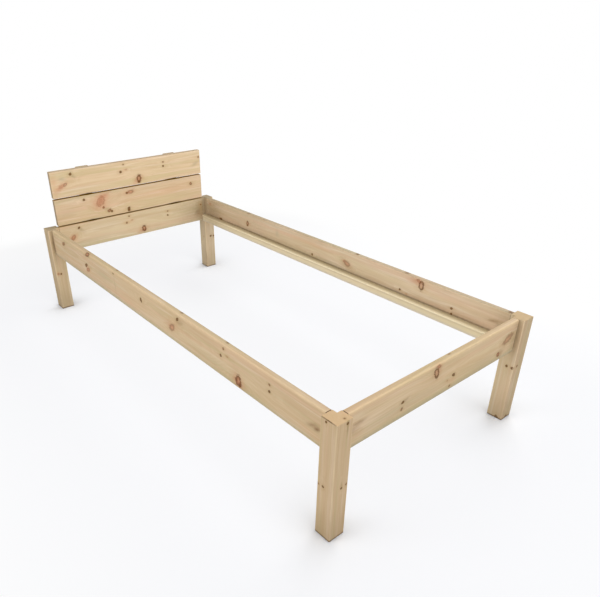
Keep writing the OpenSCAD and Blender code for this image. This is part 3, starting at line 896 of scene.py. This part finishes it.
def plain_material(name, colour, metallic, roughness, scale):
    """A small hidden part's finish."""
    material, g = new_material(name)
    coords = g.add("ShaderNodeTexCoord")
    cloud = g.noise(coords.outputs["Object"], scale, 4.0, 0.6)
    mixed = g.mix(cloud, (*(c * 0.8 for c in colour[:3]), 1.0), colour)
    rough = g.times(cloud, 0.15, roughness)
    bump = g.add("ShaderNodeBump", {"Height": cloud, "Strength": 0.2, "Distance": 0.0001})
    shader = g.add("ShaderNodeBsdfPrincipled", {"Base Color": mixed, "Roughness": rough,
                                                "Metallic": metallic, "Normal": bump.outputs[0]})
    g.add("ShaderNodeOutputMaterial", {"Surface": shader.outputs[0]})
    return material


ZINC = plain_material("zinc", tone(214, 216, 218), 1.0, 0.32, 900.0)
BEECH = plain_material("beech", tone(214, 178, 138), 0.0, 0.5, 600.0)
SCREW = (ZINC, "screw_zinc")
DOWEL = (BEECH, "dowel_beech")
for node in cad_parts:
    if "plates" in node or "screws" in node:
        paint(node, ZINC)
    elif "dowels" in node:
        paint(node, BEECH)


# Screws, in mm: countersunk, with a cross recess, a coarse thread and a point
SCREW_R = 2.0
SCREW_CORE_R = 1.35
HEAD_R = 4.0
HEAD_BEVEL = 0.12
HEAD_H = 2.4
NECK_L = 0.4
RECESS_DEPTH = 1.7
RECESS_ARM = (2.1, 0.95)
RECESS_HALF = (0.42, 0.3)
POINT_L = 4.0
THREAD_PITCH = 1.8
THREAD_STEPS = 5
THREAD_START = 0.4
TIP_R = 0.05
SCREW_SIDES = 16
BATTEN_SCREW_L = 38.0
RAIL_SCREW_L = 45.0
POST_SCREW_L = 24.0

# Dowels, in mm: fluted, with bevelled ends
FLUTES = 18
FLUTE_SIDES = 4
FLUTE_DEPTH = 0.35
DOWEL_BEVEL = 1.2
LEDGE_DOWELS = 7


def circle(radius, z, sides):
    angles = [2 * math.pi * i / sides for i in range(sides)]
    return [Vector((radius * math.cos(angle), radius * math.sin(angle), z)) for angle in angles]


# The faces that fill a cross outline: its middle and its four arms
CROSS_FACES = ((2, 5, 8, 11), (11, 0, 1, 2), (2, 3, 4, 5), (5, 6, 7, 8), (8, 9, 10, 11))


def cross_outline(arm, half, z):
    """A cross seen along z: its four arms reach to arm and are half wide on each side."""
    outline = []
    for quarter in range(4):
        turn = Matrix.Rotation(math.pi / 2 * quarter, 3, "Z")
        outline += [turn @ Vector(place) for place in ((arm, -half, z), (arm, half, z), (half, half, z))]
    return outline


def bridge(verts, faces, ring):
    """Adds a ring of points and joins it to the ring of the same size just before it."""
    start = len(verts)
    size = len(ring)
    verts += ring
    for i in range(size):
        j = (i + 1) % size
        faces.append((start - size + i, start - size + j, start + j, start + i))


def thread_radius(z, turn):
    """The radius of the thread at a depth and at a share of a full turn."""
    phase = (z / THREAD_PITCH + turn) % 1.0
    flank = max(0.0, 1.0 - 3.0 * abs(phase - 0.5))
    return SCREW_CORE_R + (SCREW_R - SCREW_CORE_R) * flank


def screw_shape(length):
    """A screw with its head level with z = 0 and its point at z = -length, as points and faces."""
    rim = circle(HEAD_R - HEAD_BEVEL, 0.0, SCREW_SIDES)
    verts, faces = list(rim), []
    for radius, z in ((HEAD_R, -HEAD_BEVEL), (SCREW_CORE_R, -HEAD_H - NECK_L)):
        bridge(verts, faces, circle(radius, z, SCREW_SIDES))
    step = THREAD_PITCH / THREAD_STEPS
    rows = int((length - HEAD_H - 2 * NECK_L) / step)
    for row in range(1, rows + 1):
        z = HEAD_H + NECK_L + row * step
        narrowing = min(1.0, (length - z) / POINT_L, row / THREAD_STEPS + THREAD_START)
        ring = circle(1.0, -z, SCREW_SIDES)
        for i, point in enumerate(ring):
            point.xy *= narrowing * thread_radius(z, i / SCREW_SIDES)
        bridge(verts, faces, ring)
    bridge(verts, faces, circle(TIP_R, -length, SCREW_SIDES))
    faces.append(tuple(range(len(verts) - SCREW_SIDES, len(verts))))
    brim = cross_outline(RECESS_ARM[0], RECESS_HALF[0], 0.0)
    floor = cross_outline(RECESS_ARM[1], RECESS_HALF[1], -RECESS_DEPTH)
    order = list(range(SCREW_SIDES)) + [len(verts) + i for i in range(len(brim))]
    faces += [tuple(order[i] for i in face) for face in tessellate_polygon([rim, brim])]
    verts += brim
    bridge(verts, faces, floor)
    start = len(verts) - len(floor)
    faces += [tuple(start + i for i in face) for face in CROSS_FACES]
    return verts, faces


def dowel_shape(radius, length):
    """A fluted dowel along z, centred on z = 0, as points and faces."""
    sides = FLUTES * FLUTE_SIDES
    half = length / 2
    verts = circle(radius - DOWEL_BEVEL, -half, sides)
    faces = [tuple(range(sides))]
    for z in (DOWEL_BEVEL - half, half - DOWEL_BEVEL):
        ring = circle(radius, z, sides)
        for flute in range(0, sides, FLUTE_SIDES):
            ring[flute].xy *= (radius - FLUTE_DEPTH) / radius
        bridge(verts, faces, ring)
    bridge(verts, faces, circle(radius - DOWEL_BEVEL, half, sides))
    faces.append(tuple(range(len(verts) - sides, len(verts))))
    return verts, faces


def fasteners(node, shape, places, heading_of, material, slot):
    """One piece in place of a CAD node: the shape at each place, its z axis turned to a heading."""
    verts, faces = shape
    all_verts, all_faces = [], []
    for place in places:
        turn = Vector(heading_of(place)).to_track_quat("Z", "Y")
        start = len(all_verts)
        all_verts += [(turn @ v + Vector(place)) * MM for v in verts]
        all_faces += [tuple(start + i for i in face) for face in faces]
    mesh = bpy.data.meshes.new(node + "_detailed")
    mesh.from_pydata(all_verts, [], all_faces)
    mesh.materials.append(material)
    shaped = bmesh.new()
    shaped.from_mesh(mesh)
    bmesh.ops.recalc_face_normals(shaped, faces=shaped.faces)
    shaped.to_mesh(mesh)
    shaped.free()
    piece = add_thing(node + "_detailed", mesh)
    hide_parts(node)
    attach(piece, "root")


def fasten_battens():
    """Two screws through each batten into each board, with their heads at the back."""
    for side in ("left", "right"):
        node = "batten_screws_" + side
        low, high = span(node)
        inset = low.z + HEAD_R - BOARD_FEET[0]
        places = [((low.x + high.x) / 2, high.y, z)
                  for foot, top in zip(BOARD_FEET, BOARD_TOPS) for z in (foot + inset, top - inset)]
        fasteners(node, screw_shape(BATTEN_SCREW_L), places, lambda place: HEADWARD, *SCREW)


def fasten_plates():
    """Screws of the hook plates, pointing into the rails, and of the slotted plates in the posts."""
    for side in ("left", "right"):
        for plates, length, outward in (("hook", RAIL_SCREW_L, 1), ("slotted", POST_SCREW_L, -1)):
            node = f"{plates}_plate_screws_{side}"
            low, high = span(node)
            joint = high.y if plates == "hook" else high.y - length
            places = [((low.x + high.x) / 2, end * joint, z)
                      for end in (-1, 1) for z in (low.z + HEAD_R, high.z - HEAD_R)]
            fasteners(node, screw_shape(length), places,
                      lambda place, outward=outward: (0, outward * place[1], 0), *SCREW)


def peg_rails():
    """The dowels between end rails and posts, and those between side rails and ledges."""
    for node in ("foot_rail_dowels", "head_rail_dowels"):
        low, high = span(node)
        radius = (high.y - low.y) / 2
        places = [(x, (low.y + high.y) / 2, z)
                  for x in (-POST_INNER, POST_INNER) for z in (low.z + radius, high.z - radius)]
        shape = dowel_shape(radius, 2 * (high.x - POST_INNER))
        fasteners(node, shape, places, lambda place: RIGHT, *DOWEL)
    for side in ("left", "right"):
        node = "ledge_dowels_" + side
        low, high = span(node)
        radius = (high.z - low.z) / 2
        first, last = low.y + radius, high.y - radius
        step = (last - first) / (LEDGE_DOWELS - 1)
        places = [((low.x + high.x) / 2, first + step * i, (low.z + high.z) / 2)
                  for i in range(LEDGE_DOWELS)]
        fasteners(node, dowel_shape(radius, high.x - low.x), places, lambda place: RIGHT, *DOWEL)


fasten_battens()
fasten_plates()
peg_rails()


def seen_directly(g):
    """1 for what is seen directly, in a gloss or through glass, and 0 for light that falls on things."""
    path = g.add("ShaderNodeLightPath").outputs
    seen = g.math("MAXIMUM", path["Is Camera Ray"], path["Is Glossy Ray"])
    return g.math("MAXIMUM", seen, path["Is Transmission Ray"])


def beside_posts(g, place, unsigned):
    """The distance to the nearest post, and how directly a place lies towards CAST_TO from it."""
    low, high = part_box("post_foot_left")
    middle = (low + high) / 2
    post_half = (high - low) / 2
    corner = (abs(middle.x), abs(middle.y), 0.0)
    from_post = g.vector("SUBTRACT", unsigned, corner)
    beside = g.vector("SUBTRACT", g.vector("ABSOLUTE", from_post), (post_half.x, post_half.y, 0.0))
    beside = g.vector("LENGTH", g.vector("MAXIMUM", beside, (0, 0, 0)))
    outward = g.vector("SUBTRACT", place, g.vector("MULTIPLY", g.vector("SIGN", place), corner))
    facing = g.vector("DOT_PRODUCT", g.vector("NORMALIZE", outward), CAST_TO)
    return beside, facing


def floor_material():
    """A matt floor that keeps the bed's soft shadow, adds painted shade near the bed and turns plain white
    further out.
    """
    material, g = new_material("pale_floor")
    seen = seen_directly(g)
    half = (cad_box[1] - cad_box[0]) / 2
    place = g.add("ShaderNodeTexCoord").outputs["Object"]
    unsigned = g.vector("ABSOLUTE", place)
    beside, facing = beside_posts(g, place, unsigned)
    across, along, _ = g.split(place)
    rise = g.step(along, -half.y, half.y, -GLOW_RISE_FOOT, -GLOW_RISE_HEAD)
    rise = g.times(rise, g.step(across, -half.x, half.x, 1.0, GLOW_RISE_RIGHT))
    cut = g.step(along, -half.y, half.y, CAST_CUT_FOOT, CAST_CUT_HEAD)
    cut = g.times(g.step(facing, *CAST_ANGLE_HEAD), cut)
    rise = g.times(rise, g.math("SUBTRACT", 1.0, cut))
    fading = g.math("EXPONENT", g.math("DIVIDE", beside, rise))
    near_share = g.times(fading, -GLOW_SHARE, GLOW_SHARE)
    outside = g.vector("MAXIMUM", g.vector("SUBTRACT", unsigned, (half.x, half.y, 1.0)), (0, 0, 0))
    away = g.step(g.vector("LENGTH", outside), GLOW_FROM, GLOW_TO)
    share = g.times(g.math("MAXIMUM", near_share, away), seen)
    # A painted contact shadow beside each post darkens the matt floor; a painted shadow beside the right foot
    # post and a faint painted shade under the head end darken it and its glow
    contact = g.math("EXPONENT", g.math("DIVIDE", beside, -CONTACT_REACH))
    lit = g.vector("SUBTRACT", (1, 1, 1), g.scaled(CONTACT_SHADE, contact))
    foot_right = g.times(g.step(across, 0.0, half.x), g.step(along, -half.y, 0.0, 1.0, 0.0))
    cast = g.math("EXPONENT", g.math("DIVIDE", beside, -CAST_REACH))
    cast = g.times(g.times(cast, g.step(facing, *CAST_ANGLE_FOOT)), g.times(foot_right, CAST_DEPTH))
    head_shade = g.bell(g.vector("DISTANCE", place, HEAD_SHADE), HEAD_SHADE_REACH)
    dimming = g.math("SUBTRACT", g.times(head_shade, -HEAD_SHADE_DEPTH, 1.0), cast)
    lit = g.scaled(lit, dimming)
    matt_tone = g.vector("MULTIPLY", g.mix(seen, FLOOR_BOUNCE, FLOOR_SEEN), lit)
    matt = g.add("ShaderNodeBsdfDiffuse", {"Color": matt_tone})
    glow_tone = g.scaled(g.mix(away, FLOOR_GLOW, WHITE), dimming)
    glow = g.add("ShaderNodeEmission", {"Color": glow_tone})
    both = g.add("ShaderNodeMixShader", {0: share, 1: matt.outputs[0], 2: glow.outputs[0]})
    g.add("ShaderNodeOutputMaterial", {"Surface": both.outputs[0]})
    return material


def make_floor():
    """A pale matt floor, wide enough to fill the view."""
    mesh = bpy.data.meshes.new("floor")
    reach = FLOOR_SIZE / 2
    corners = [(-reach, -reach, 0), (reach, -reach, 0), (reach, reach, 0), (-reach, reach, 0)]
    mesh.from_pydata(corners, [], [(0, 1, 2, 3)])
    mesh.materials.append(floor_material())
    add_thing("floor", mesh)


def make_sky():
    """White light from all sides, strongest low down. Seen directly or in a gloss it is plain white."""
    world = bpy.data.worlds.new("white_walls")
    bpy.context.scene.world = world
    world.use_nodes = True
    world.node_tree.nodes.clear()
    g = Graph(world.node_tree)
    height = g.split(g.add("ShaderNodeTexCoord").outputs["Generated"])[2]
    low = g.add("ShaderNodeMapRange", {0: height, 1: 0.0, 2: 1.0, 3: 1.0, 4: 0.0}).outputs[0]
    level = g.times(g.math("POWER", low, 2.0), WALL_LEVEL)
    seen = seen_directly(g)
    level = g.add("ShaderNodeMix", {0: seen, 2: level, 3: 1.0}).outputs[0]
    background = g.add("ShaderNodeBackground", {"Color": WHITE, "Strength": level})
    g.add("ShaderNodeOutputWorld", {"Surface": background.outputs[0]})


def make_lamps():
    for name, place, watts in LAMPS:
        data = bpy.data.lights.new(name, "AREA")
        data.shape = "DISK"
        data.size = LAMP_SIZE
        data.energy = watts
        lamp = add_thing(name, data)
        lamp.location = place
        lamp.rotation_euler = (Vector(AIM) - Vector(place)).to_track_quat("-Z", "Y").to_euler()


def make_camera():
    data = bpy.data.cameras.new("camera")
    data.sensor_width = SENSOR_W
    data.sensor_fit = "HORIZONTAL"
    data.lens = SENSOR_W * FOCAL_PIXELS / IMAGE_W
    data.shift_x = (IMAGE_W / 2 - VIEW_CENTRE[0]) / IMAGE_W
    data.shift_y = (VIEW_CENTRE[1] - IMAGE_H / 2) / IMAGE_W
    camera = add_thing("camera", data)
    camera.location = CAMERA_PLACE
    camera.rotation_euler = (math.radians(90 - CAMERA_PITCH), 0, math.radians(-CAMERA_YAW))
    bpy.context.scene.camera = camera


make_floor()
make_sky()
make_lamps()
make_camera()
bpy.context.scene.view_settings.view_transform = "Standard"
